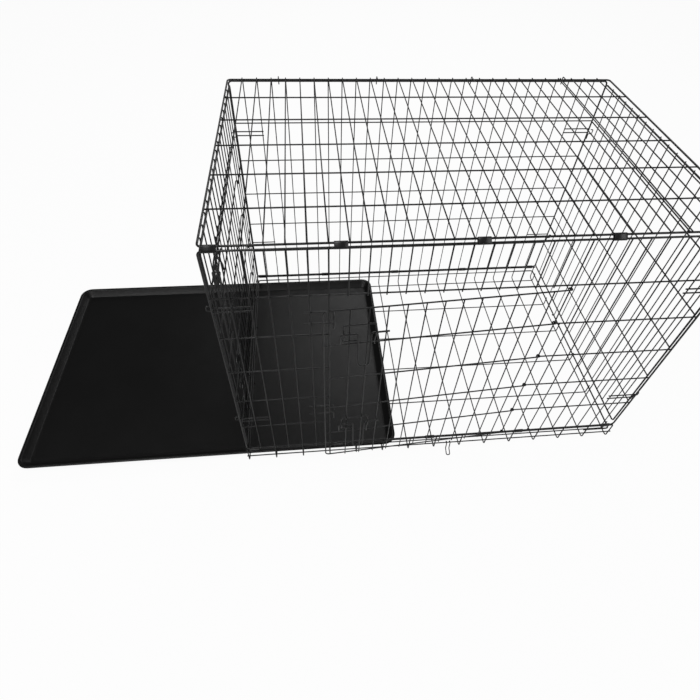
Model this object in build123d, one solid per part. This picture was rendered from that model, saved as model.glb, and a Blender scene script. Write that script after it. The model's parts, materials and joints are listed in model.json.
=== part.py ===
"""Folding wire dog crate, 42 inches long, with a sliding plastic tray.

Millimetres. The origin is the middle of the crate's footprint on the ground, +Z is up,
the front with the large door faces -Y and the end with the tray's mouth faces -X.
The tray stands pulled well out of the left end and the front door is a little ajar.
"""
from math import cos, hypot, radians, sin
import os

from build123d import *

os.makedirs("parts", exist_ok=True)

# Crate size
PITCH = 38.1
PITCHES = 28
LENGTH = PITCHES * PITCH
WIDTH = 711.2
HEIGHT = 762.0
LEFT, RIGHT = -LENGTH / 2, LENGTH / 2
FRONT, BACK = -WIDTH / 2, WIDTH / 2

# Wire diameters, and how deep a spot weld sinks one wire into the next
RAIL_D = 4.4
LONG_D = 3.4
MESH_D = 2.8
BOLT_D = 4.0
WELD = 0.3
RUN_GAP = 0.3

# Front and back panels: bottom rail height and the five rows of long wire above it
SILL_Z = 61.0
ROW_STEP = (HEIGHT - SILL_Z) / 6
ROWS = [HEIGHT - ROW_STEP * i for i in range(1, 6)]
RAIL_IN = (MESH_D + RAIL_D) / 2 - WELD
ROW_IN = (MESH_D + LONG_D) / 2 - WELD
UPRIGHT_END = 1.0
FRAME_R = 9.0

# Front door opening, counted in pitches from the left edge
DOOR_FREE_N = 6
DOOR_HINGE_N = 19

# Base tub
CROSS_STEP = 2 * PITCH
LIP_TOP = 58.0
LIP_R = 8.0
BASE_RAIL_Z = 56.0
LOW_RAIL_Z = 31.0
END_RAIL_Z = 38.0
LONG_WIRES = 6
LONG_EDGE = 24.0
CUT_END = 3.0

# End panels: eighteen pitches between the front and back panels
END_EDGE = 8.6
END_PITCHES = 18
END_PITCH = (WIDTH - 2 * END_EDGE) / END_PITCHES
END_BOTTOM_Z = 72.0
END_TOP_Z = 755.0
END_HINGE_NS = (6, 12)
END_RAIL_IN = (LONG_D + RAIL_D) / 2 - WELD
END_DOOR_FREE_N = 3
END_DOOR_HINGE_N = 15
EYE_R = RAIL_D / 2 + MESH_D / 2 + 0.4

# Doors and their slide bolts
DOOR_AJAR = 3.5
DOOR_TOP_DROP = 8.2
DOOR_ROW_LIFT = 5.9
DOOR_OVERLAP = 14.7
DOOR_FRAME_OUT = LONG_D
DOOR_MESH_OUT = DOOR_FRAME_OUT + (LONG_D + MESH_D) / 2 - WELD
BRACKET_OUT = DOOR_MESH_OUT + (LONG_D + MESH_D) / 2 - WELD
BOLT_OUT = 10.2
BOW_OUT = 14.4
UPPER_BOLT_Z = 571.0
LOWER_BOLT_Z = 228.0
HANDLE_DROP = 86.0
HANDLE_LEAN = 12.0
BOLT_TIP_DROP = 26.0

# Top panel: its front rail lies above and behind the front panel's top rail
LID_BACK = 5.6
LID_UP = 6.0
LID_ROWS = 6
LID_DOUBLE_N = 24
LID_DOUBLE_GAP = 6.0
LID_HOOK_NS = (3.5, 10.5, 17.5, 24.5)

# Sleeve clips
CLIP_NS = (0.52, 6.6, 13.5, 20.4, 27.4)
CLIP_L = 25.4
CLIP_T = 1.0

# Tray
TRAY_L = 1046.0
TRAY_W = 698.0
TRAY_BOTTOM = 6.8
TRAY_TOP = 29.0
TRAY_OUT = 625.0
TRAY_WALL = 2.2
TRAY_SLOPE = 16.0
TRAY_FLANGE = 6.0


def column(n):
    """x of the nth pitch line from the left edge."""
    return LEFT + n * PITCH


def end_column(n):
    """y of the nth pitch line of an end panel from its front edge."""
    return FRONT + END_EDGE + n * END_PITCH


def rod(start, end, diameter):
    """A straight cut of wire between two points."""
    run = Vector(*end) - Vector(*start)
    return Solid.make_cylinder(diameter / 2, run.length, Plane(origin=start, z_dir=run))


def wire_along(curves, diameter):
    """A bent wire of one diameter along joined lines and arcs."""
    edges = [edge for curve in curves for edge in curve.edges()]
    path = Wire.combine(edges)[0]
    section = Plane(origin=path @ 0, z_dir=path % 0) * Circle(diameter / 2)
    return sweep(section, path=path)


def bent_wire(points, radius, diameter):
    """A wire through points with every corner bent to one radius."""
    return wire_along([FilletPolyline(*points, radius=radius)], diameter)


def ring_frame(points, radius, diameter):
    """A closed rectangular wire ring with round corners."""
    path = FilletPolyline(*points, radius=radius, close=True)
    section = Plane(origin=path @ 0, z_dir=path % 0) * Circle(diameter / 2)
    return sweep(section, path=path)


def other_side(shapes, plane):
    """The same pieces on the opposite side of the crate."""
    return [shape.mirror(plane) for shape in shapes]


def save(node, solids):
    """One node: a group of separate solids."""
    pieces = []
    for shape in solids:
        pieces += shape.solids()
    export_step(Compound(children=pieces), f"parts/{node}.step")


def sleeve_clip(x, first, second):
    """A rolled sheet sleeve round two parallel rails that run along X."""
    (y1, z1), (y2, z2) = first, second
    span = hypot(y2 - y1, z2 - z1)
    inner = RAIL_D + 2 * RUN_GAP
    slot = SlotCenterToCenter(span, inner + 2 * CLIP_T) - SlotCenterToCenter(span, inner)
    across = Vector(0, y2 - y1, z2 - z1)
    middle = (x - CLIP_L / 2, (y1 + y2) / 2, (z1 + z2) / 2)
    place = Plane(origin=middle, x_dir=across, z_dir=(1, 0, 0))
    return extrude(place * slot, amount=CLIP_L)


def side_panel(side):
    """Frame, uprights, rows and hook catches of a long panel; side is -1 front, +1 back."""
    plane_y = side * WIDTH / 2
    rail_y = plane_y - side * RAIL_IN
    row_y = plane_y - side * ROW_IN
    ends = (LEFT, RIGHT)
    corners = [
        (ends[0], rail_y, SILL_Z),
        (ends[1], rail_y, SILL_Z),
        (ends[1], rail_y, HEIGHT),
        (ends[0], rail_y, HEIGHT),
    ]
    frame = [ring_frame(corners, FRAME_R, RAIL_D)]
    uprights = []
    for n in range(1, PITCHES):
        low = SILL_Z - UPRIGHT_END
        if side < 0 and DOOR_FREE_N < n < DOOR_HINGE_N:
            low = ROWS[0] - CUT_END
        start, end = (column(n), plane_y, low), (column(n), plane_y, HEIGHT + UPRIGHT_END)
        uprights.append(rod(start, end, MESH_D))
    reach = RAIL_D / 2 - WELD
    rows = []
    for i, z in enumerate(ROWS):
        spans = [(LEFT + reach, RIGHT - reach)]
        if side < 0 and i > 0:
            spans = [
                (LEFT + reach, column(DOOR_FREE_N) + CUT_END),
                (column(DOOR_HINGE_N) - CUT_END, RIGHT - reach),
            ]
        rows += [rod((a, row_y, z), (b, row_y, z), LONG_D) for a, b in spans]
    catches = []
    for z in (620.0, 608.0, 217.0, 205.0):
        catch = rod((LEFT + reach, row_y, z), (column(2) + CUT_END, row_y, z), LONG_D)
        catches += [catch, catch.mirror(Plane.YZ)]
    return frame, uprights, rows, catches


def base_tub():
    """Cross wires, long wires and rails of the shallow wire tub that the crate stands on."""
    floor_z = LONG_D / 2
    cross = []
    for k in range(PITCHES // 2 + 1):
        x = LEFT + k * CROSS_STEP
        points = [(x, FRONT, LIP_TOP), (x, FRONT, floor_z), (x, BACK, floor_z), (x, BACK, LIP_TOP)]
        cross.append(bent_wire(points, LIP_R, LONG_D))
    long_z = floor_z + LONG_D - WELD
    gap = (WIDTH - 2 * LONG_EDGE) / (LONG_WIRES - 1)
    long_wires = []
    for i in range(LONG_WIRES):
        y = FRONT + LONG_EDGE + i * gap
        points = [(LEFT - CUT_END, y, long_z), (RIGHT, y, long_z), (RIGHT, y, END_RAIL_Z + CUT_END)]
        long_wires.append(bent_wire(points, 6.0, LONG_D))
    rail_in = (LONG_D + RAIL_D) / 2 - WELD
    low_out = LONG_D - WELD
    x0, x1 = LEFT - CUT_END, RIGHT + CUT_END
    rails = {}
    for name, y, side in (("front", FRONT, 1), ("back", BACK, -1)):
        upper_y, lower_y = y + side * rail_in, y - side * low_out
        rails[f"base_{name}_upper_rail"] = rod((x0, upper_y, BASE_RAIL_Z), (x1, upper_y, BASE_RAIL_Z), RAIL_D)
        rails[f"base_{name}_lower_rail"] = rod((x0, lower_y, LOW_RAIL_Z), (x1, lower_y, LOW_RAIL_Z), LONG_D)
    lap = LEFT + CROSS_STEP + 2 * CUT_END
    leg_x = LEFT + END_RAIL_IN
    front_y, back_y = FRONT + rail_in, BACK - rail_in
    points = [(lap, front_y), (leg_x, front_y), (leg_x, back_y), (lap, back_y)]
    end_rail = bent_wire([(x, y, END_RAIL_Z) for x, y in points], LIP_R, RAIL_D)
    rails["base_left_end_rail"] = end_rail
    rails["base_right_end_rail"] = end_rail.mirror(Plane.YZ)
    return cross, long_wires, rails


def lock_hook():
    """The loop that hangs on the front lower rail and holds the folded crate shut."""
    rail_y, rail_z = FRONT - LONG_D + WELD, LOW_RAIL_Z
    eye_r = LONG_D / 2 + MESH_D / 2 + RUN_GAP
    left_x, right_x = column(15) - 5.0, column(15) + 5.0
    floor_z = MESH_D / 2 + 0.2

    def eye(x):
        spots = [180.0, 60.0, -60.0]
        points = [(x, rail_y + eye_r * cos(radians(a)), rail_z + eye_r * sin(radians(a))) for a in spots]
        return ThreePointArc(*points)

    loop = [(rail_y - eye_r, rail_z), (rail_y - eye_r - 3.0, 9.0), (rail_y - 24.0, floor_z)]
    points = [(left_x, y, z) for y, z in loop] + [(right_x, y, z) for y, z in reversed(loop)]
    path = FilletPolyline(*points, radius=3.6)
    return wire_along([eye(left_x), path, eye(right_x)], MESH_D)


class Door:
    """A mesh door, written in s from the hinge, d out of the panel and z up."""

    def __init__(self, place, hinge_n, free_n, pitch, levels):
        self.place = place
        self.span = (hinge_n - free_n) * pitch + DOOR_OVERLAP
        self.columns = [i * pitch for i in range(1, hinge_n - free_n)]
        self.top, self.rows, self.bottom = levels

    def eye(self, z):
        """Three quarters of a turn of wire round the hinge upright."""
        r = DOOR_FRAME_OUT
        turns = (0.0, 125.0, 250.0)
        return ThreePointArc(*[self.place(-r * sin(radians(a)), r * cos(radians(a)), z) for a in turns])

    def frame(self):
        """One wire: top, free edge and bottom, with an eye at both hinge ends."""
        out = DOOR_FRAME_OUT
        spots = [(0, self.top), (self.span, self.top), (self.span, self.bottom), (0, self.bottom)]
        path = FilletPolyline(*[self.place(s, out, z) for s, z in spots], radius=10.0)
        return wire_along([self.eye(self.top), path, self.eye(self.bottom)], LONG_D)

    def cross_wires(self):
        """Long wires of the door, each ending in an eye on the hinge upright."""
        wires = []
        reach = self.span - LONG_D + WELD
        for z in self.rows:
            line = Line(self.place(reach, DOOR_FRAME_OUT, z), self.place(0, DOOR_FRAME_OUT, z))
            wires.append(wire_along([line, self.eye(z)], LONG_D))
        return wires

    def uprights(self):
        """Thin wires on the outer side."""
        low, high = self.bottom - CUT_END, self.top + CUT_END
        out = DOOR_MESH_OUT
        return [rod(self.place(s, out, low), self.place(s, out, high), MESH_D) for s in self.columns]

    def bolt(self, z):
        """Round bar with a hanging U handle and a tip bent down."""
        s = self.span
        lean_d, lean_z = HANDLE_DROP * sin(radians(HANDLE_LEAN)), HANDLE_DROP * cos(radians(HANDLE_LEAN))
        spots = [
            (s - 135.0, BOLT_OUT, z),
            (s - 98.0, BOLT_OUT, z),
            (s - 93.0, BOLT_OUT + lean_d, z - lean_z),
            (s - 69.5, BOLT_OUT + lean_d, z - lean_z),
            (s - 69.5, BOLT_OUT, z),
            (s - 34.0, BOLT_OUT, z),
            (s - 34.0, BOLT_OUT, z - BOLT_TIP_DROP),
        ]
        radii = [5.0, 11.0, 11.0, 5.0, 5.0]
        return wire_along([FilletPolyline(*[self.place(*p) for p in spots], radius=radii)], BOLT_D)

    def bracket(self, z, row_z):
        """Wire staple over the bolt: its two legs bow out round the bar."""
        right, left = self.span - 40.0, self.span - 106.0
        flat = BRACKET_OUT
        row_out = DOOR_FRAME_OUT + LONG_D - WELD

        def bow(s):
            return [(s, flat, z + 14.0), (s, BOW_OUT, z + 6.0), (s, BOW_OUT, z - 6.0), (s, flat, z - 14.0)]

        spots = [(right - 30.0, flat, z - 21.0), (right, flat, z - 21.0)]
        spots += reversed(bow(right))
        spots += [(right, flat, z + 26.0), (left, flat, z + 26.0)]
        spots += bow(left)
        spots += [(left, row_out, z - 24.0), (left, row_out, row_z - CUT_END)]
        return bent_wire([self.place(*p) for p in spots], 3.0, LONG_D)

    def strike(self, z, below):
        """Staple on the panel that reaches out through the door for the bolt's tip."""
        post, root = self.span - 24.0, self.span + 37.0
        half = [(root, -ROW_IN), (post, -ROW_IN), (post, BOW_OUT)]
        spots = [(s, d, z + 27.0) for s, d in half] + [(s, d, z - below) for s, d in reversed(half)]
        return bent_wire([self.place(*p) for p in spots], 3.6, LONG_D)


def front_place(s, d, z):
    """Door coordinates to the crate's, on the front panel."""
    return (column(DOOR_HINGE_N) - s, FRONT - d, z)


END_MESH_X = LEFT + END_RAIL_IN - EYE_R


def end_place(s, d, z):
    """Door coordinates to the crate's, on the left end panel."""
    return (END_MESH_X - d, end_column(END_DOOR_HINGE_N) - s, z)


def end_panel(with_door):
    """Frame, uprights, hinge uprights, rows and hooks of the left end panel."""
    rail_x = END_MESH_X + RAIL_IN
    row_x = END_MESH_X + ROW_IN
    y0, y1 = end_column(0), end_column(END_PITCHES)
    low_z, high_z = END_BOTTOM_Z, END_TOP_Z
    corners = [(rail_x, y0, low_z), (rail_x, y1, low_z), (rail_x, y1, high_z), (rail_x, y0, high_z)]
    frame = [ring_frame(corners, FRAME_R, RAIL_D)]
    low, high = END_BOTTOM_Z - CUT_END, END_TOP_Z + CUT_END
    uprights = []
    for n in range(1, END_PITCHES):
        start = low
        if with_door and END_DOOR_FREE_N < n < END_DOOR_HINGE_N:
            start = ROWS[0] - CUT_END
        elif n in END_HINGE_NS:
            continue
        uprights.append(rod((END_MESH_X, end_column(n), start), (END_MESH_X, end_column(n), high), MESH_D))
    hinges = []
    hinge_top = END_BOTTOM_Z + CUT_END if with_door else high
    axis_x = LEFT + END_RAIL_IN
    for n in END_HINGE_NS:
        y = end_column(n)
        line = Line((END_MESH_X, y, hinge_top), (END_MESH_X, y, END_RAIL_Z))
        turns = [radians(a) for a in (0.0, 125.0, 250.0)]
        spots = [(axis_x - EYE_R * cos(a), y, END_RAIL_Z - EYE_R * sin(a)) for a in turns]
        hinges.append(wire_along([line, ThreePointArc(*spots)], MESH_D))
    reach = RAIL_D / 2 - WELD
    rows = []
    for i, z in enumerate(ROWS):
        spans = [(y0 + reach, y1 - reach)]
        if with_door and i > 0:
            spans = [
                (y0 + reach, end_column(END_DOOR_FREE_N) + CUT_END),
                (end_column(END_DOOR_HINGE_N) - CUT_END, y1 - reach),
            ]
        rows += [rod((row_x, a, z), (row_x, b, z), LONG_D) for a, b in spans]
    hooks = []
    for z in (614.0, 211.0):
        for y in (y0, y1):
            x = END_MESH_X
            out = x - 11.0
            spots = [(x, y, z - 24.0), (x, y, z - 7.0), (out, y, z - 7.0), (out, y, z + 6.0)]
            spots.append((x - 3.5, y, z + 6.0))
            hooks.append(bent_wire(spots, 3.2, MESH_D))
    return frame, uprights, hinges, rows, hooks


def top_panel():
    """Frame, cross wires, long wires, hooks and sleeve clips of the lid."""
    frame_z = HEIGHT + LID_UP
    y0 = FRONT + RAIL_IN + LID_BACK
    y1 = BACK - RAIL_IN - LID_BACK
    corners = [(LEFT, y0, frame_z), (RIGHT, y0, frame_z), (RIGHT, y1, frame_z), (LEFT, y1, frame_z)]
    frame = [ring_frame(corners, FRAME_R, RAIL_D)]
    mesh_z = frame_z + RAIL_IN
    row_z = mesh_z - ROW_IN
    places = [column(n) for n in range(1, PITCHES)] + [column(LID_DOUBLE_N) + LID_DOUBLE_GAP]
    cross = [rod((x, y0 - CUT_END, mesh_z), (x, y1 + CUT_END, mesh_z), MESH_D) for x in places]
    reach = RAIL_D / 2 - WELD
    rows = []
    for i in range(1, LID_ROWS):
        y = FRONT + i * WIDTH / LID_ROWS
        rows.append(rod((LEFT + reach, y, row_z), (RIGHT - reach, y, row_z), LONG_D))
    hooks = []
    for n in LID_HOOK_NS:
        x = column(n)
        spots = [(x, y1 - 18.0, mesh_z), (x, BACK + 5.0, mesh_z), (x, BACK + 5.0, HEIGHT - 12.0)]
        hooks.append(bent_wire(spots, 4.0, MESH_D))
    clips = [sleeve_clip(column(n), (FRONT + RAIL_IN, HEIGHT), (y0, frame_z)) for n in CLIP_NS]
    return frame, cross, rows, hooks, clips


def tray():
    """Shallow pan with sloping sides, round corners and a flat rim."""
    middle_x = LEFT - TRAY_OUT + TRAY_L / 2

    def pan(inset, low, high):
        """A tapering block whose sides lie inset from the pan's outer skin."""
        depth = TRAY_TOP - TRAY_BOTTOM
        sections = []
        for z in (low, high):
            edge = TRAY_FLANGE + TRAY_SLOPE * (TRAY_TOP - z) / depth + inset
            outline = RectangleRounded(TRAY_L - 2 * edge, TRAY_W - 2 * edge, 36.0 - edge)
            sections.append(Pos(middle_x, 0, z) * outline)
        return loft(sections, ruled=True)

    body = pan(0.0, TRAY_BOTTOM, TRAY_TOP)
    flange = Pos(middle_x, 0, TRAY_TOP - TRAY_WALL) * RectangleRounded(TRAY_L, TRAY_W, 34.0)
    rim = extrude(flange, amount=TRAY_WALL)
    hollow = pan(TRAY_WALL, TRAY_BOTTOM + TRAY_WALL, TRAY_TOP + 1.0)
    return (body + rim) - hollow


cross, long_wires, rails = base_tub()
save("base_cross_wires", cross)
save("base_long_wires", long_wires)
for name, shape in rails.items():
    save(name, [shape])

door_levels = (ROWS[0] - DOOR_TOP_DROP, [z + DOOR_ROW_LIFT for z in ROWS[1:]], SILL_Z + DOOR_TOP_DROP)
front_door = Door(front_place, DOOR_HINGE_N, DOOR_FREE_N, PITCH, door_levels)
end_levels = (door_levels[0], door_levels[1], END_BOTTOM_Z + DOOR_TOP_DROP)
end_door = Door(end_place, END_DOOR_HINGE_N, END_DOOR_FREE_N, END_PITCH, end_levels)

for name, side in (("front", -1), ("back", 1)):
    frame, uprights, rows, catches = side_panel(side)
    save(f"{name}_panel_frame", frame)
    save(f"{name}_panel_uprights", uprights)
    save(f"{name}_panel_cross_wires", rows)
    save(f"{name}_hook_catches", catches)
    sill = (side * (WIDTH / 2 - RAIL_IN), SILL_Z)
    tub = (side * (WIDTH / 2 - END_RAIL_IN), BASE_RAIL_Z)
    save(f"{name}_sill_clips", [sleeve_clip(column(n), sill, tub) for n in CLIP_NS])
save("front_upper_strike", [front_door.strike(UPPER_BOLT_Z, 7.0)])
save("front_lower_strike", [front_door.strike(LOWER_BOLT_Z, 7.0)])

frame, cross, rows, hooks, clips = top_panel()
save("top_panel_frame", frame)
save("top_panel_cross_wires", cross)
save("top_panel_long_wires", rows)
save("top_panel_hooks", hooks)
save("top_rail_clips", clips)

for name, with_door in (("left", True), ("right", False)):
    parts = end_panel(with_door)
    if name == "right":
        parts = [other_side(group, Plane.YZ) for group in parts]
    for kind, group in zip(("frame", "uprights", "hinge_wires", "cross_wires", "hooks"), parts):
        save(f"{name}_panel_{kind}", group)
save("end_upper_strike", [end_door.strike(UPPER_BOLT_Z, 30.0)])
save("end_lower_strike", [end_door.strike(LOWER_BOLT_Z, 30.0)])

hinge = Axis(front_place(0, 0, 0), (0, 0, 1))
for name, door, angle in (("front", front_door, DOOR_AJAR), ("end", end_door, 0.0)):
    groups = {
        f"{name}_door_frame": [door.frame()],
        f"{name}_door_cross_wires": door.cross_wires(),
        f"{name}_door_uprights": door.uprights(),
        f"{name}_upper_bracket": [door.bracket(UPPER_BOLT_Z, door.rows[0])],
        f"{name}_lower_bracket": [door.bracket(LOWER_BOLT_Z, door.rows[3])],
        f"{name}_upper_bolt": [door.bolt(UPPER_BOLT_Z)],
        f"{name}_lower_bolt": [door.bolt(LOWER_BOLT_Z)],
    }
    for node, group in groups.items():
        save(node, [shape.rotate(hinge, angle) if angle else shape for shape in group])

save("tray", [tray()])
save("fold_lock_hook", [lock_hook()])
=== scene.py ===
"""Looks of a folding wire dog crate: smooth coated wire, rolled clips and a grained plastic tray.

Sizes below are millimetres, as on the drawing; mesh points are turned to metres when they are built.
"""
import json
from math import cos, radians, sin

import bmesh
import bpy
from mathutils import Matrix, Quaternion, Vector
import numpy as np

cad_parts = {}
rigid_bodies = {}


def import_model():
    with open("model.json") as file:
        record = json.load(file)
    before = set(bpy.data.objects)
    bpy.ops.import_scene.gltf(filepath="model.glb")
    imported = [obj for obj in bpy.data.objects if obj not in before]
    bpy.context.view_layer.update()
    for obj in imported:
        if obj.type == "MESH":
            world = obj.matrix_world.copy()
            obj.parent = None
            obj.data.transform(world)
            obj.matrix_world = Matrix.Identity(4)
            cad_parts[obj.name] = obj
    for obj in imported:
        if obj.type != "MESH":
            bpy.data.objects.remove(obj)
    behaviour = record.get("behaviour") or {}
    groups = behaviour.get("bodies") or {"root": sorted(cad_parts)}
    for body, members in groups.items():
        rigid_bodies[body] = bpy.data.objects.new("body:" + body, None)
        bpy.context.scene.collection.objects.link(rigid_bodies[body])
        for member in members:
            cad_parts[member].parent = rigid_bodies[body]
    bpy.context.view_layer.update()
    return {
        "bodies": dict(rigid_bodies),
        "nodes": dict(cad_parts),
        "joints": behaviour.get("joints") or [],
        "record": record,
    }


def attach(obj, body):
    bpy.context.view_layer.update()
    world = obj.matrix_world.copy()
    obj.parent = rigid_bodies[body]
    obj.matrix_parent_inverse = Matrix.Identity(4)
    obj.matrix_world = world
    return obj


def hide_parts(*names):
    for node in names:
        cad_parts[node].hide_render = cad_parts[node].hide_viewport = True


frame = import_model()

# Camera: fitted to the photograph, which is 700 pixels square
PHOTO = 700
FOCAL_PX = 503.15
CENTRE_PX = (359.9, 324.0)
CAMERA_AT = (-339.8, -1052.2, 1335.5)
CAMERA_TURN = (2.4055, -0.0979, 0.0933)
SENSOR_MM = 36.0

# Facets round a wire, and along each bend
ROUND_SIDES = 10
BEND_STEPS = 6
END_CHAMFER = 0.35

# Even light from the white room, beside the three lamps
ROOM_LIGHT = 0.18

# Crate size
PITCH = 38.1
PITCHES = 28
LENGTH = PITCHES * PITCH
WIDTH = 711.2
HEIGHT = 762.0
LEFT, RIGHT = -LENGTH / 2, LENGTH / 2
FRONT, BACK = -WIDTH / 2, WIDTH / 2

# Wire diameters, and how deep a spot weld sinks one wire into the next
RAIL_D = 4.4
LONG_D = 3.4
MESH_D = 2.8
BOLT_D = 4.0
WELD = 0.3
RUN_GAP = 0.3

# Front and back panels: bottom rail height and the five rows of long wire above it
SILL_Z = 61.0
ROW_STEP = (HEIGHT - SILL_Z) / 6
ROWS = [HEIGHT - ROW_STEP * i for i in range(1, 6)]
RAIL_IN = (MESH_D + RAIL_D) / 2 - WELD
ROW_IN = (MESH_D + LONG_D) / 2 - WELD
UPRIGHT_END = 1.0
FRAME_R = 9.0

# Front door opening, counted in pitches from the left edge
DOOR_FREE_N = 6
DOOR_HINGE_N = 19

# Base tub
CROSS_STEP = 2 * PITCH
LIP_TOP = 58.0
LIP_R = 8.0
BASE_RAIL_Z = 56.0
LOW_RAIL_Z = 31.0
END_RAIL_Z = 38.0
LONG_WIRES = 6
LONG_EDGE = 24.0
CUT_END = 3.0

# End panels: eighteen pitches between the front and back panels
END_EDGE = 8.6
END_PITCHES = 18
END_PITCH = (WIDTH - 2 * END_EDGE) / END_PITCHES
END_BOTTOM_Z = 72.0
END_TOP_Z = 755.0
END_HINGE_NS = (6, 12)
END_RAIL_IN = (LONG_D + RAIL_D) / 2 - WELD
END_DOOR_FREE_N = 3
END_DOOR_HINGE_N = 15
EYE_R = RAIL_D / 2 + MESH_D / 2 + 0.4

# Doors and their slide bolts
DOOR_AJAR = 3.5
DOOR_TOP_DROP = 8.2
DOOR_ROW_LIFT = 5.9
DOOR_OVERLAP = 14.7
DOOR_FRAME_OUT = LONG_D
DOOR_MESH_OUT = DOOR_FRAME_OUT + (LONG_D + MESH_D) / 2 - WELD
BRACKET_OUT = DOOR_MESH_OUT + (LONG_D + MESH_D) / 2 - WELD
BOLT_OUT = 10.2
BOW_OUT = 14.4
UPPER_BOLT_Z = 571.0
LOWER_BOLT_Z = 228.0
HANDLE_DROP = 86.0
HANDLE_LEAN = 12.0
BOLT_TIP_DROP = 26.0

# Top panel: its front rail lies above and behind the front panel's top rail
LID_BACK = 5.6
LID_UP = 6.0
LID_ROWS = 6
LID_DOUBLE_N = 24
LID_DOUBLE_GAP = 6.0
LID_HOOK_NS = (3.5, 10.5, 17.5, 24.5)

# Sleeve clips
CLIP_NS = (0.52, 6.6, 13.5, 20.4, 27.4)
CLIP_L = 25.4
CLIP_T = 1.0

# Tray
TRAY_L = 1046.0
TRAY_W = 698.0
TRAY_BOTTOM = 6.8
TRAY_TOP = 29.0
TRAY_OUT = 625.0
TRAY_WALL = 2.2
TRAY_SLOPE = 16.0
TRAY_FLANGE = 6.0


def metres(points):
    """Millimetres to metres."""
    return np.asarray(points, dtype=float) / 1000.0


def arc_through(points, steps=18):
    """Arc through three points: centre from the perpendicular bisectors, then equal turns about it."""
    a, b, c = (np.array(p, dtype=float) for p in points)
    ab, ac = b - a, c - a
    normal = np.cross(ab, ac)
    to_centre = np.cross(normal, ab) * (ac @ ac) + np.cross(ac, normal) * (ab @ ab)
    centre = a + to_centre / (2 * normal @ normal)
    normal /= np.linalg.norm(normal)
    first = a - centre
    second = np.cross(normal, first)
    end = c - centre
    turn = np.arctan2(end @ second, end @ first) % (2 * np.pi)
    t = np.linspace(0, turn, steps)[:, None]
    return centre + first * np.cos(t) + second * np.sin(t)


def rounded(points, radius, closed=False):
    """A run of straight lines with each corner replaced by a tangent arc of the given radius."""
    p = np.array(points, dtype=float)
    count = len(p)
    inner = range(count) if closed else range(1, count - 1)
    radii = list(radius) if np.iterable(radius) else [radius] * len(inner)
    out = [] if closed else [p[:1]]
    for i, r in zip(inner, radii):
        into, away = p[i - 1] - p[i], p[(i + 1) % count] - p[i]
        into, away = into / np.linalg.norm(into), away / np.linalg.norm(away)
        half = np.arccos(np.clip(into @ away, -1, 1)) / 2
        cut = r / np.tan(half)
        centre = p[i] + (into + away) / np.linalg.norm(into + away) * r / np.sin(half)
        u = p[i] + into * cut - centre
        v = p[i] + away * cut - centre
        sweep = np.pi - 2 * half
        t = np.linspace(0, 1, BEND_STEPS + 1)[:, None]
        out.append(centre + (np.sin((1 - t) * sweep) * u + np.sin(t * sweep) * v) / np.sin(sweep))
    if not closed:
        out.append(p[-1:])
    return np.concatenate(out)


class Bar:
    """One cut of wire: its centre line, its diameter and whether it closes on itself."""

    def __init__(self, path, diameter, closed=False):
        self.path, self.diameter, self.closed = np.asarray(path, dtype=float), diameter, closed

    def mirrored(self):
        """The same wire on the other side of the crate's middle."""
        return Bar(self.path * (-1, 1, 1), self.diameter, self.closed)

    def turned(self, pivot, degrees):
        """The wire turned about an upright line through pivot."""
        c, s = cos(radians(degrees)), sin(radians(degrees))
        turn = np.array([[c, -s, 0], [s, c, 0], [0, 0, 1]])
        return Bar((self.path - pivot) @ turn.T + pivot, self.diameter, self.closed)

    def skin(self):
        """Rings of points about the centre line, each ring's axes carried on from the last.

        A ring is centre + r (cos t side + sin t up); open ends close with a small chamfer.
        """
        path, r = self.path, self.diameter / 2
        keep = np.ones(len(path), bool)
        keep[1:] = np.linalg.norm(np.diff(path, axis=0), axis=1) > 1e-4
        path = path[keep]
        radii = np.full(len(path), r)
        if not self.closed:
            first, last = path[1] - path[0], path[-1] - path[-2]
            first, last = first / np.linalg.norm(first), last / np.linalg.norm(last)
            start, end = path[:1], path[-1:]
            inner = [start + first * END_CHAMFER, path[1:-1], end - last * END_CHAMFER]
            path = np.vstack([start, *inner, end])
            radii = np.full(len(path), r)
            radii[[0, -1]] = r - END_CHAMFER
            ahead = np.vstack([np.diff(path, axis=0), last])
            back = np.vstack([first, np.diff(path, axis=0)])
        else:
            ahead = np.roll(path, -1, axis=0) - path
            back = np.roll(ahead, 1, axis=0)
        ahead /= np.linalg.norm(ahead, axis=1)[:, None]
        back /= np.linalg.norm(back, axis=1)[:, None]
        along = ahead + back
        along /= np.linalg.norm(along, axis=1)[:, None]
        side = np.cross(along[0], (0.36, 0.48, 0.8))
        sides = []
        for direction in along:
            side = side - direction * (side @ direction)
            side /= np.linalg.norm(side)
            sides.append(side)
        sides = np.array(sides)
        ups = np.cross(along, sides)
        t = np.arange(ROUND_SIDES) * 2 * np.pi / ROUND_SIDES
        ring = np.cos(t)[None, :, None] * sides[:, None] + np.sin(t)[None, :, None] * ups[:, None]
        points = path[:, None] + radii[:, None, None] * ring
        return grid_faces(points, self.closed)


def grid_faces(points, closed):
    """Quads of a grid of rings; open grids get a flat cap at both ends."""
    rows, cols = points.shape[:2]
    number = np.arange(rows * cols).reshape(rows, cols)
    if closed:
        number = np.vstack([number, number[:1]])
    a, b = number[:-1], number[1:]
    quads = np.stack([a, np.roll(a, -1, 1), np.roll(b, -1, 1), b], axis=-1).reshape(-1, 4).tolist()
    if not closed:
        quads += [number[0][::-1].tolist(), number[-1].tolist()]
    return points.reshape(-1, 3), quads


def rod(start, end, diameter):
    """A straight cut of wire between two points."""
    return Bar([start, end], diameter)


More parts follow.
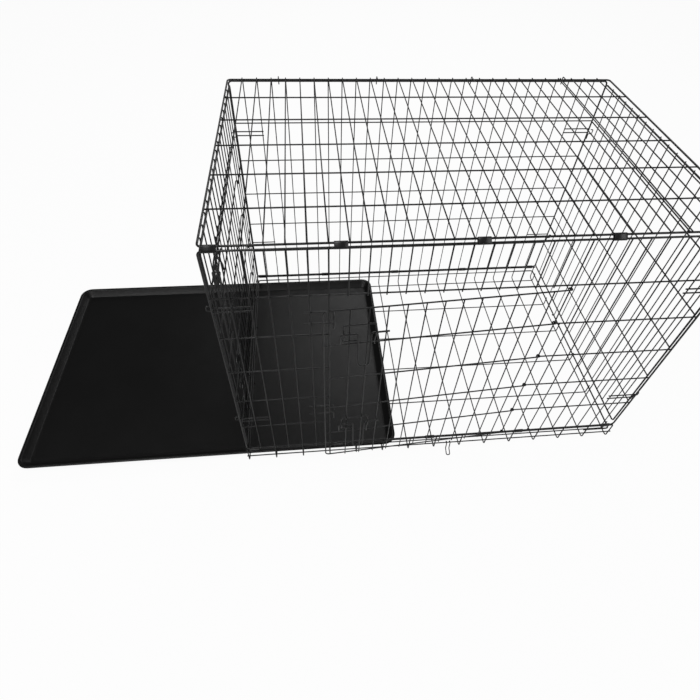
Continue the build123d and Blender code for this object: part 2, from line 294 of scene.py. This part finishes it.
def wire_along(curves, diameter):
    """A bent wire along joined lines and arcs, each turned round where it meets the last."""
    path = curves[0]
    if len(curves) > 1:
        follow = curves[1]
        gaps = [np.linalg.norm(path[0] - follow[0]), np.linalg.norm(path[0] - follow[-1])]
        if min(gaps) < 0.01:
            path = path[::-1]
    for curve in curves[1:]:
        if np.linalg.norm(curve[-1] - path[-1]) < np.linalg.norm(curve[0] - path[-1]):
            curve = curve[::-1]
        path = np.vstack([path, curve[1:]])
    return Bar(path, diameter)


def bent_wire(points, radius, diameter):
    """A wire through points with every corner bent to one radius."""
    return Bar(rounded(points, radius), diameter)


def ring_frame(points, radius, diameter):
    """A closed rectangular wire ring with round corners."""
    return Bar(rounded(points, radius, closed=True), diameter, closed=True)


class Sleeve:
    """A rolled sheet sleeve round two rails: a racetrack ring drawn out along X."""

    def __init__(self, x, first, second):
        self.x, self.first, self.second = x, np.array(first), np.array(second)

    def skin(self):
        """Outer and inner racetracks, with rolled lips, closed into a ring at both ends."""
        across = self.second - self.first
        turn = np.arctan2(across[1], across[0])
        inner_r = RAIL_D / 2 + RUN_GAP
        t = np.linspace(-np.pi / 2, np.pi / 2, 13)
        near = np.stack([np.cos(t + turn + np.pi), np.sin(t + turn + np.pi)], axis=1)
        far = np.stack([np.cos(t + turn), np.sin(t + turn)], axis=1)
        lip = 0.3
        loops = []
        half = CLIP_L / 2
        steps = [(inner_r, half - lip), (inner_r + lip, half), (inner_r + CLIP_T - lip, half)]
        outer_r = inner_r + CLIP_T
        steps += [(outer_r, half - lip), (outer_r, lip - half), (outer_r - lip, -half)]
        steps += [(inner_r + lip, -half), (inner_r, lip - half)]
        for r, x in steps:
            loop = np.vstack([self.first + near * r, self.second + far * r])
            loops.append(np.hstack([np.full((len(loop), 1), self.x + x), loop]))
        return grid_faces(np.array(loops), closed=True)


def sleeve_clip(x, first, second):
    """A rolled sheet sleeve round two parallel rails that run along X."""
    return Sleeve(x, first, second)


def mesh_object(name, shapes):
    """One object from the skins of several shapes, smooth across bends and sharp at cut ends."""
    points, faces, base = [], [], 0
    for shape in shapes:
        p, f = shape.skin()
        points.append(p)
        faces += [[i + base for i in face] for face in f]
        base += len(p)
    mesh = bpy.data.meshes.new(name)
    mesh.from_pydata(metres(np.vstack(points)).tolist(), [], faces)
    mesh.update()
    piece = bpy.data.objects.new(name, mesh)
    bpy.context.scene.collection.objects.link(piece)
    outward(mesh)
    mesh.shade_smooth()
    mesh.set_sharp_from_angle(angle=radians(50))
    return piece


def outward(mesh):
    """Turns every closed skin's faces to point out."""
    bm = bmesh.new()
    bm.from_mesh(mesh)
    bmesh.ops.recalc_face_normals(bm, faces=bm.faces)
    bm.to_mesh(mesh)
    bm.free()


bodies = frame["record"]["behaviour"]["bodies"]
body_of_node = {node: body for body, nodes in bodies.items() for node in nodes}


def dress(node, shapes, material):
    """Smooth pieces that stand for one node of the frame and move with its body."""
    piece = mesh_object(f"{node}_finish", shapes)
    piece.data.materials.append(material)
    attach(piece, body_of_node[node])
    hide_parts(node)
    return piece


def column(n):
    """x of the nth pitch line from the left edge."""
    return LEFT + n * PITCH


def end_column(n):
    """y of the nth pitch line of an end panel from its front edge."""
    return FRONT + END_EDGE + n * END_PITCH


def side_panel(side):
    """Frame, uprights, rows and hook catches of a long panel; side is -1 front, +1 back."""
    plane_y = side * WIDTH / 2
    rail_y = plane_y - side * RAIL_IN
    row_y = plane_y - side * ROW_IN
    ends = (LEFT, RIGHT)
    corners = [
        (ends[0], rail_y, SILL_Z),
        (ends[1], rail_y, SILL_Z),
        (ends[1], rail_y, HEIGHT),
        (ends[0], rail_y, HEIGHT),
    ]
    frame = [ring_frame(corners, FRAME_R, RAIL_D)]
    uprights = []
    for n in range(1, PITCHES):
        low = SILL_Z - UPRIGHT_END
        if side < 0 and DOOR_FREE_N < n < DOOR_HINGE_N:
            low = ROWS[0] - CUT_END
        start, end = (column(n), plane_y, low), (column(n), plane_y, HEIGHT + UPRIGHT_END)
        uprights.append(rod(start, end, MESH_D))
    reach = RAIL_D / 2 - WELD
    rows = []
    for i, z in enumerate(ROWS):
        spans = [(LEFT + reach, RIGHT - reach)]
        if side < 0 and i > 0:
            spans = [
                (LEFT + reach, column(DOOR_FREE_N) + CUT_END),
                (column(DOOR_HINGE_N) - CUT_END, RIGHT - reach),
            ]
        rows += [rod((a, row_y, z), (b, row_y, z), LONG_D) for a, b in spans]
    catches = []
    for z in (620.0, 608.0, 217.0, 205.0):
        catch = rod((LEFT + reach, row_y, z), (column(2) + CUT_END, row_y, z), LONG_D)
        catches += [catch, catch.mirrored()]
    return frame, uprights, rows, catches


def base_tub():
    """Cross wires, long wires and rails of the shallow wire tub that the crate stands on."""
    floor_z = LONG_D / 2
    cross = []
    for k in range(PITCHES // 2 + 1):
        x = LEFT + k * CROSS_STEP
        points = [(x, FRONT, LIP_TOP), (x, FRONT, floor_z), (x, BACK, floor_z), (x, BACK, LIP_TOP)]
        cross.append(bent_wire(points, LIP_R, LONG_D))
    long_z = floor_z + LONG_D - WELD
    gap = (WIDTH - 2 * LONG_EDGE) / (LONG_WIRES - 1)
    long_wires = []
    for i in range(LONG_WIRES):
        y = FRONT + LONG_EDGE + i * gap
        points = [(LEFT - CUT_END, y, long_z), (RIGHT, y, long_z), (RIGHT, y, END_RAIL_Z + CUT_END)]
        long_wires.append(bent_wire(points, 6.0, LONG_D))
    rail_in = (LONG_D + RAIL_D) / 2 - WELD
    low_out = LONG_D - WELD
    x0, x1 = LEFT - CUT_END, RIGHT + CUT_END
    rails = {}
    for name, y, side in (("front", FRONT, 1), ("back", BACK, -1)):
        upper_y, lower_y = y + side * rail_in, y - side * low_out
        rails[f"base_{name}_upper_rail"] = rod((x0, upper_y, BASE_RAIL_Z), (x1, upper_y, BASE_RAIL_Z), RAIL_D)
        rails[f"base_{name}_lower_rail"] = rod((x0, lower_y, LOW_RAIL_Z), (x1, lower_y, LOW_RAIL_Z), LONG_D)
    lap = LEFT + CROSS_STEP + 2 * CUT_END
    leg_x = LEFT + END_RAIL_IN
    front_y, back_y = FRONT + rail_in, BACK - rail_in
    points = [(lap, front_y), (leg_x, front_y), (leg_x, back_y), (lap, back_y)]
    end_rail = bent_wire([(x, y, END_RAIL_Z) for x, y in points], LIP_R, RAIL_D)
    rails["base_left_end_rail"] = end_rail
    rails["base_right_end_rail"] = end_rail.mirrored()
    return cross, long_wires, rails


def lock_hook():
    """The loop that hangs on the front lower rail and holds the folded crate shut."""
    rail_y, rail_z = FRONT - LONG_D + WELD, LOW_RAIL_Z
    eye_r = LONG_D / 2 + MESH_D / 2 + RUN_GAP
    left_x, right_x = column(15) - 5.0, column(15) + 5.0
    floor_z = MESH_D / 2 + 0.2

    def eye(x):
        spots = [180.0, 60.0, -60.0]
        points = [(x, rail_y + eye_r * cos(radians(a)), rail_z + eye_r * sin(radians(a))) for a in spots]
        return arc_through(points)

    loop = [(rail_y - eye_r, rail_z), (rail_y - eye_r - 3.0, 9.0), (rail_y - 24.0, floor_z)]
    points = [(left_x, y, z) for y, z in loop] + [(right_x, y, z) for y, z in reversed(loop)]
    path = rounded(points, 3.6)
    return wire_along([eye(left_x), path, eye(right_x)], MESH_D)


class Door:
    """A mesh door, written in s from the hinge, d out of the panel and z up."""

    def __init__(self, place, hinge_n, free_n, pitch, levels):
        self.place = place
        self.span = (hinge_n - free_n) * pitch + DOOR_OVERLAP
        self.columns = [i * pitch for i in range(1, hinge_n - free_n)]
        self.top, self.rows, self.bottom = levels

    def eye(self, z):
        """Three quarters of a turn of wire round the hinge upright."""
        r = DOOR_FRAME_OUT
        turns = (0.0, 125.0, 250.0)
        return arc_through([self.place(-r * sin(radians(a)), r * cos(radians(a)), z) for a in turns])

    def frame(self):
        """One wire: top, free edge and bottom, with an eye at both hinge ends."""
        out = DOOR_FRAME_OUT
        spots = [(0, self.top), (self.span, self.top), (self.span, self.bottom), (0, self.bottom)]
        path = rounded([self.place(s, out, z) for s, z in spots], 10.0)
        return wire_along([self.eye(self.top), path, self.eye(self.bottom)], LONG_D)

    def cross_wires(self):
        """Long wires of the door, each ending in an eye on the hinge upright."""
        wires = []
        reach = self.span - LONG_D + WELD
        for z in self.rows:
            line = np.array([self.place(reach, DOOR_FRAME_OUT, z), self.place(0, DOOR_FRAME_OUT, z)], dtype=float)
            wires.append(wire_along([line, self.eye(z)], LONG_D))
        return wires

    def uprights(self):
        """Thin wires on the outer side."""
        low, high = self.bottom - CUT_END, self.top + CUT_END
        out = DOOR_MESH_OUT
        return [rod(self.place(s, out, low), self.place(s, out, high), MESH_D) for s in self.columns]

    def bolt(self, z):
        """Round bar with a hanging U handle and a tip bent down."""
        s = self.span
        lean_d, lean_z = HANDLE_DROP * sin(radians(HANDLE_LEAN)), HANDLE_DROP * cos(radians(HANDLE_LEAN))
        spots = [
            (s - 135.0, BOLT_OUT, z),
            (s - 98.0, BOLT_OUT, z),
            (s - 93.0, BOLT_OUT + lean_d, z - lean_z),
            (s - 69.5, BOLT_OUT + lean_d, z - lean_z),
            (s - 69.5, BOLT_OUT, z),
            (s - 34.0, BOLT_OUT, z),
            (s - 34.0, BOLT_OUT, z - BOLT_TIP_DROP),
        ]
        radii = [5.0, 11.0, 11.0, 5.0, 5.0]
        return wire_along([rounded([self.place(*p) for p in spots], radii)], BOLT_D)

    def bracket(self, z, row_z):
        """Wire staple over the bolt: its two legs bow out round the bar."""
        right, left = self.span - 40.0, self.span - 106.0
        flat = BRACKET_OUT
        row_out = DOOR_FRAME_OUT + LONG_D - WELD

        def bow(s):
            return [(s, flat, z + 14.0), (s, BOW_OUT, z + 6.0), (s, BOW_OUT, z - 6.0), (s, flat, z - 14.0)]

        spots = [(right - 30.0, flat, z - 21.0), (right, flat, z - 21.0)]
        spots += reversed(bow(right))
        spots += [(right, flat, z + 26.0), (left, flat, z + 26.0)]
        spots += bow(left)
        spots += [(left, row_out, z - 24.0), (left, row_out, row_z - CUT_END)]
        return bent_wire([self.place(*p) for p in spots], 3.0, LONG_D)

    def strike(self, z, below):
        """Staple on the panel that reaches out through the door for the bolt's tip."""
        post, root = self.span - 24.0, self.span + 37.0
        half = [(root, -ROW_IN), (post, -ROW_IN), (post, BOW_OUT)]
        spots = [(s, d, z + 27.0) for s, d in half] + [(s, d, z - below) for s, d in reversed(half)]
        return bent_wire([self.place(*p) for p in spots], 3.6, LONG_D)


def front_place(s, d, z):
    """Door coordinates to the crate's, on the front panel."""
    return (column(DOOR_HINGE_N) - s, FRONT - d, z)


END_MESH_X = LEFT + END_RAIL_IN - EYE_R


def end_place(s, d, z):
    """Door coordinates to the crate's, on the left end panel."""
    return (END_MESH_X - d, end_column(END_DOOR_HINGE_N) - s, z)


def end_panel(with_door):
    """Frame, uprights, hinge uprights, rows and hooks of the left end panel."""
    rail_x = END_MESH_X + RAIL_IN
    row_x = END_MESH_X + ROW_IN
    y0, y1 = end_column(0), end_column(END_PITCHES)
    low_z, high_z = END_BOTTOM_Z, END_TOP_Z
    corners = [(rail_x, y0, low_z), (rail_x, y1, low_z), (rail_x, y1, high_z), (rail_x, y0, high_z)]
    frame = [ring_frame(corners, FRAME_R, RAIL_D)]
    low, high = END_BOTTOM_Z - CUT_END, END_TOP_Z + CUT_END
    uprights = []
    for n in range(1, END_PITCHES):
        start = low
        if with_door and END_DOOR_FREE_N < n < END_DOOR_HINGE_N:
            start = ROWS[0] - CUT_END
        elif n in END_HINGE_NS:
            continue
        uprights.append(rod((END_MESH_X, end_column(n), start), (END_MESH_X, end_column(n), high), MESH_D))
    hinges = []
    hinge_top = END_BOTTOM_Z + CUT_END if with_door else high
    axis_x = LEFT + END_RAIL_IN
    for n in END_HINGE_NS:
        y = end_column(n)
        line = np.array([(END_MESH_X, y, hinge_top), (END_MESH_X, y, END_RAIL_Z)], dtype=float)
        turns = [radians(a) for a in (0.0, 125.0, 250.0)]
        spots = [(axis_x - EYE_R * cos(a), y, END_RAIL_Z - EYE_R * sin(a)) for a in turns]
        hinges.append(wire_along([line, arc_through(spots)], MESH_D))
    reach = RAIL_D / 2 - WELD
    rows = []
    for i, z in enumerate(ROWS):
        spans = [(y0 + reach, y1 - reach)]
        if with_door and i > 0:
            spans = [
                (y0 + reach, end_column(END_DOOR_FREE_N) + CUT_END),
                (end_column(END_DOOR_HINGE_N) - CUT_END, y1 - reach),
            ]
        rows += [rod((row_x, a, z), (row_x, b, z), LONG_D) for a, b in spans]
    hooks = []
    for z in (614.0, 211.0):
        for y in (y0, y1):
            x = END_MESH_X
            out = x - 11.0
            spots = [(x, y, z - 24.0), (x, y, z - 7.0), (out, y, z - 7.0), (out, y, z + 6.0)]
            spots.append((x - 3.5, y, z + 6.0))
            hooks.append(bent_wire(spots, 3.2, MESH_D))
    return frame, uprights, hinges, rows, hooks


def top_panel():
    """Frame, cross wires, long wires, hooks and sleeve clips of the lid."""
    frame_z = HEIGHT + LID_UP
    y0 = FRONT + RAIL_IN + LID_BACK
    y1 = BACK - RAIL_IN - LID_BACK
    corners = [(LEFT, y0, frame_z), (RIGHT, y0, frame_z), (RIGHT, y1, frame_z), (LEFT, y1, frame_z)]
    frame = [ring_frame(corners, FRAME_R, RAIL_D)]
    mesh_z = frame_z + RAIL_IN
    row_z = mesh_z - ROW_IN
    places = [column(n) for n in range(1, PITCHES)] + [column(LID_DOUBLE_N) + LID_DOUBLE_GAP]
    cross = [rod((x, y0 - CUT_END, mesh_z), (x, y1 + CUT_END, mesh_z), MESH_D) for x in places]
    reach = RAIL_D / 2 - WELD
    rows = []
    for i in range(1, LID_ROWS):
        y = FRONT + i * WIDTH / LID_ROWS
        rows.append(rod((LEFT + reach, y, row_z), (RIGHT - reach, y, row_z), LONG_D))
    hooks = []
    for n in LID_HOOK_NS:
        x = column(n)
        spots = [(x, y1 - 18.0, mesh_z), (x, BACK + 5.0, mesh_z), (x, BACK + 5.0, HEIGHT - 12.0)]
        hooks.append(bent_wire(spots, 4.0, MESH_D))
    clips = [sleeve_clip(column(n), (FRONT + RAIL_IN, HEIGHT), (y0, frame_z)) for n in CLIP_NS]
    return frame, cross, rows, hooks, clips


def linear(hex_colour):
    """sRGB hex to linear red, green, blue and alpha."""
    value = [int(hex_colour[i:i + 2], 16) / 255 for i in (1, 3, 5)]
    return tuple(v / 12.92 if v <= 0.04045 else ((v + 0.055) / 1.055) ** 2.4 for v in value) + (1.0,)


def add_node(tree, kind, links=None, **settings):
    """Adds a node, sets its inputs or properties by name, and links inputs to given outputs."""
    node = tree.nodes.new(kind)
    for name, value in settings.items():
        label = name.replace("_", " ")
        if label in node.inputs:
            node.inputs[label].default_value = value
        else:
            setattr(node, name, value)
    for name, output in (links or {}).items():
        tree.links.new(output, node.inputs[name])
    return node


def new_material(name):
    """An empty node material and its tree and output."""
    material = bpy.data.materials.new(name)
    material.use_nodes = True
    tree = material.node_tree
    tree.nodes.clear()
    return material, tree, tree.nodes.new("ShaderNodeOutputMaterial")


def electro_coated_steel():
    """Drawn steel wire dipped in black epoxy: satin, with a faint orange peel and dull patches."""
    material, tree, output = new_material("black_epoxy_coated_steel_wire")
    spot = add_node(tree, "ShaderNodeTexCoord").outputs["Object"]
    # Orange peel about 0.8 mm across, and duller patches every 30 mm where the dip ran
    peel = add_node(tree, "ShaderNodeTexNoise", {"Vector": spot}, Scale=1250.0, Detail=3.0)
    patch = add_node(tree, "ShaderNodeTexNoise", {"Vector": spot}, Scale=33.0, Detail=2.0)
    tint = add_node(tree, "ShaderNodeValToRGB", {"Fac": patch.outputs["Fac"]})
    tint.color_ramp.elements[0].color = linear("#030304")
    tint.color_ramp.elements[1].color = linear("#080809")
    tint.color_ramp.elements[0].position = 0.35
    tint.color_ramp.elements[1].position = 0.70
    rough = add_node(tree, "ShaderNodeMapRange", {"Value": patch.outputs["Fac"]}, To_Min=0.30, To_Max=0.46)
    bump = add_node(tree, "ShaderNodeBump", {"Height": peel.outputs["Fac"]}, Strength=0.12, Distance=0.0002)
    shader = add_node(
        tree,
        "ShaderNodeBsdfPrincipled",
        {
            "Base Color": tint.outputs["Color"],
            "Roughness": rough.outputs["Result"],
            "Normal": bump.outputs["Normal"],
        },
        IOR=1.55,
        Specular_IOR_Level=0.45,
    )
    tree.links.new(shader.outputs["BSDF"], output.inputs["Surface"])
    return material


def moulded_tray_plastic():
    """Vacuum formed ABS sheet: near black, haircell grain about 1.5 mm, scuffed a little paler."""
    material, tree, output = new_material("grained_black_abs_sheet")
    spot = add_node(tree, "ShaderNodeTexCoord").outputs["Object"]
    grain = add_node(tree, "ShaderNodeTexVoronoi", {"Vector": spot}, Scale=650.0, Randomness=1.0)
    fine = add_node(tree, "ShaderNodeTexNoise", {"Vector": spot}, Scale=900.0, Detail=4.0)
    cloud = add_node(tree, "ShaderNodeTexNoise", {"Vector": spot}, Scale=9.0, Detail=5.0)
    tint = add_node(tree, "ShaderNodeValToRGB", {"Fac": fine.outputs["Fac"]})
    tint.color_ramp.elements[0].color = linear("#030303")
    tint.color_ramp.elements[1].color = linear("#080808")
    tint.color_ramp.elements[0].position = 0.38
    tint.color_ramp.elements[1].position = 0.72
    rough = add_node(tree, "ShaderNodeMapRange", {"Value": cloud.outputs["Fac"]}, To_Min=0.30, To_Max=0.42)
    reliefs = {0: grain.outputs["Distance"], 1: fine.outputs["Fac"]}
    height = add_node(tree, "ShaderNodeMath", reliefs, operation="ADD")
    relief = {"Height": height.outputs["Value"]}
    bump = add_node(tree, "ShaderNodeBump", relief, Strength=0.45, Distance=0.0004)
    shader = add_node(
        tree,
        "ShaderNodeBsdfPrincipled",
        {
            "Base Color": tint.outputs["Color"],
            "Roughness": rough.outputs["Result"],
            "Normal": bump.outputs["Normal"],
        },
        IOR=1.54,
        Specular_IOR_Level=0.22,
    )
    tree.links.new(shader.outputs["BSDF"], output.inputs["Surface"])
    return material


def studio_white():
    """Matte white paper sweep that the camera sees as plain white apart from the object's shadow."""
    material, tree, output = new_material("white_paper_sweep")
    paper = add_node(tree, "ShaderNodeBsdfDiffuse", Color=linear("#f4f4f4"))
    glow = add_node(tree, "ShaderNodeEmission", Color=(1.0, 1.0, 1.0, 1.0), Strength=1.0)
    rays = add_node(tree, "ShaderNodeLightPath")
    share = add_node(tree, "ShaderNodeMath", {0: rays.outputs["Is Camera Ray"]}, operation="MULTIPLY")
    share.inputs[1].default_value = 0.95
    both = {"Fac": share.outputs["Value"], 1: paper.outputs["BSDF"], 2: glow.outputs["Emission"]}
    mix = add_node(tree, "ShaderNodeMixShader", both)
    tree.links.new(mix.outputs["Shader"], output.inputs["Surface"])
    return material


def round_outline(length, width, radius, z, middle_x, steps=8):
    """A rectangle with quarter circle corners, as one loop of points at one height."""
    t = np.linspace(0, np.pi / 2, steps)
    loop = []
    for quarter, (sx, sy) in enumerate(((1, 1), (-1, 1), (-1, -1), (1, -1))):
        turn = t + quarter * np.pi / 2
        cx, cy = sx * (length / 2 - radius), sy * (width / 2 - radius)
        x = middle_x + cx + radius * np.cos(turn)
        y = cy + radius * np.sin(turn)
        loop.append(np.stack([x, y, np.full(steps, z)], axis=1))
    return np.concatenate(loop)


class Pan:
    """The tray: one closed skin of nested round-cornered loops, floor to rim and back under."""

    def skin(self):
        """Each loop is (inset from the rim's edge, corner radius, height); the first and last are capped."""
        middle_x = LEFT - TRAY_OUT + TRAY_L / 2
        floor, slope, flange = TRAY_BOTTOM + TRAY_WALL, TRAY_SLOPE, TRAY_FLANGE
        inner = flange + TRAY_WALL
        profile = [
            (inner + slope + 9.0, 10.0, floor),
            (inner + slope - 0.6, 14.0, floor),
            (inner + slope - 2.4, 15.0, floor + 0.7),
            (inner + 1.2, 26.0, TRAY_TOP - 1.4),
            (inner - 0.4, 27.5, TRAY_TOP - 0.3),
            (inner - 1.6, 28.5, TRAY_TOP),
            (0.8, 33.6, TRAY_TOP),
            (0.0, 34.0, TRAY_TOP - 0.8),
            (0.0, 34.0, TRAY_TOP - TRAY_WALL + 0.4),
            (0.5, 33.8, TRAY_TOP - TRAY_WALL),
            (flange - 0.4, 30.0, TRAY_TOP - TRAY_WALL),
            (flange + 0.9, 28.0, TRAY_TOP - TRAY_WALL - 1.0),
            (flange + slope - 1.6, 15.0, TRAY_BOTTOM + 1.4),
            (flange + slope + 0.4, 13.0, TRAY_BOTTOM),
        ]
        rings = [round_outline(TRAY_L - 2 * e, TRAY_W - 2 * e, r, z, middle_x) for e, r, z in profile]
        return grid_faces(np.array(rings), closed=False)


coated = electro_coated_steel()
plastic = moulded_tray_plastic()


def save(node, shapes):
    """Dresses one wire node."""
    dress(node, shapes, coated)


cross, long_wires, rails = base_tub()
save("base_cross_wires", cross)
save("base_long_wires", long_wires)
for name, shape in rails.items():
    save(name, [shape])

door_levels = (ROWS[0] - DOOR_TOP_DROP, [z + DOOR_ROW_LIFT for z in ROWS[1:]], SILL_Z + DOOR_TOP_DROP)
front_door = Door(front_place, DOOR_HINGE_N, DOOR_FREE_N, PITCH, door_levels)
end_levels = (door_levels[0], door_levels[1], END_BOTTOM_Z + DOOR_TOP_DROP)
end_door = Door(end_place, END_DOOR_HINGE_N, END_DOOR_FREE_N, END_PITCH, end_levels)

for name, side in (("front", -1), ("back", 1)):
    frame, uprights, rows, catches = side_panel(side)
    save(f"{name}_panel_frame", frame)
    save(f"{name}_panel_uprights", uprights)
    save(f"{name}_panel_cross_wires", rows)
    save(f"{name}_hook_catches", catches)
    sill = (side * (WIDTH / 2 - RAIL_IN), SILL_Z)
    tub = (side * (WIDTH / 2 - END_RAIL_IN), BASE_RAIL_Z)
    save(f"{name}_sill_clips", [sleeve_clip(column(n), sill, tub) for n in CLIP_NS])
save("front_upper_strike", [front_door.strike(UPPER_BOLT_Z, 7.0)])
save("front_lower_strike", [front_door.strike(LOWER_BOLT_Z, 7.0)])

frame, cross, rows, hooks, clips = top_panel()
save("top_panel_frame", frame)
save("top_panel_cross_wires", cross)
save("top_panel_long_wires", rows)
save("top_panel_hooks", hooks)
save("top_rail_clips", clips)

for name, with_door in (("left", True), ("right", False)):
    parts = end_panel(with_door)
    if name == "right":
        parts = [[bar.mirrored() for bar in group] for group in parts]
    for kind, group in zip(("frame", "uprights", "hinge_wires", "cross_wires", "hooks"), parts):
        save(f"{name}_panel_{kind}", group)
save("end_upper_strike", [end_door.strike(UPPER_BOLT_Z, 30.0)])
save("end_lower_strike", [end_door.strike(LOWER_BOLT_Z, 30.0)])

hinge = np.array(front_place(0, 0, 0))
for name, door, angle in (("front", front_door, DOOR_AJAR), ("end", end_door, 0.0)):
    groups = {
        f"{name}_door_frame": [door.frame()],
        f"{name}_door_cross_wires": door.cross_wires(),
        f"{name}_door_uprights": door.uprights(),
        f"{name}_upper_bracket": [door.bracket(UPPER_BOLT_Z, door.rows[0])],
        f"{name}_lower_bracket": [door.bracket(LOWER_BOLT_Z, door.rows[3])],
        f"{name}_upper_bolt": [door.bolt(UPPER_BOLT_Z)],
        f"{name}_lower_bolt": [door.bolt(LOWER_BOLT_Z)],
    }
    for node, group in groups.items():
        save(node, [shape.turned(hinge, angle) if angle else shape for shape in group])

save("fold_lock_hook", [lock_hook()])

dress("tray", [Pan()], plastic)


def studio():
    """White sweep under and behind, a large soft key, a fill and an even white world."""
    size = 9.0
    points = [(-size, -size, 0), (size, -size, 0), (size, size, 0), (-size, size, 0)]
    mesh = bpy.data.meshes.new("floor_sweep")
    mesh.from_pydata(points, [], [[0, 1, 2, 3]])
    floor = bpy.data.objects.new("floor_sweep", mesh)
    bpy.context.scene.collection.objects.link(floor)
    mesh.materials.append(studio_white())
    lamps = [
        ("key", (-1.6, -1.0, 3.6), 1.6, 60.0),
        ("fill", (2.8, -2.0, 2.4), 1.6, 26.0),
        ("rear", (0.5, 3.0, 3.2), 1.6, 40.0),
    ]
    for name, place, width, power in lamps:
        lamp = bpy.data.lights.new(name, "AREA")
        lamp.size, lamp.energy = width, power
        holder = bpy.data.objects.new(name, lamp)
        holder.location = place
        holder.rotation_euler = (Vector((0, 0, 0.4)) - Vector(place)).to_track_quat("-Z", "Y").to_euler()
        bpy.context.scene.collection.objects.link(holder)
    world = bpy.data.worlds.new("white_room")
    world.use_nodes = True
    tree = world.node_tree
    tree.nodes.clear()
    soft = add_node(tree, "ShaderNodeBackground", Color=(1.0, 1.0, 1.0, 1.0), Strength=ROOM_LIGHT)
    seen = add_node(tree, "ShaderNodeBackground", Color=(1.0, 1.0, 1.0, 1.0), Strength=1.0)
    rays = add_node(tree, "ShaderNodeLightPath")
    either = {"Fac": rays.outputs["Is Camera Ray"], 1: soft.outputs["Background"], 2: seen.outputs["Background"]}
    mix = add_node(tree, "ShaderNodeMixShader", either)
    output = tree.nodes.new("ShaderNodeOutputWorld")
    tree.links.new(mix.outputs["Shader"], output.inputs["Surface"])
    bpy.context.scene.world = world
    bpy.context.scene.view_settings.view_transform = "Standard"


def camera():
    """Pinhole camera from the fitted place, turn, focal length and image centre."""
    data = bpy.data.cameras.new("photo_camera")
    data.sensor_width = SENSOR_MM
    data.lens = SENSOR_MM * FOCAL_PX / PHOTO
    data.shift_x = (PHOTO / 2 - CENTRE_PX[0]) / PHOTO
    data.shift_y = (CENTRE_PX[1] - PHOTO / 2) / PHOTO
    data.clip_start = 0.01
    turn = Vector(CAMERA_TURN)
    to_camera = Quaternion(turn.normalized(), turn.length).to_matrix()
    seen = to_camera.transposed() @ Matrix.Diagonal((1, -1, -1))
    holder = bpy.data.objects.new("photo_camera", data)
    holder.matrix_world = Matrix.Translation(metres(CAMERA_AT)) @ seen.to_4x4()
    bpy.context.scene.collection.objects.link(holder)
    bpy.context.scene.camera = holder


studio()
camera()
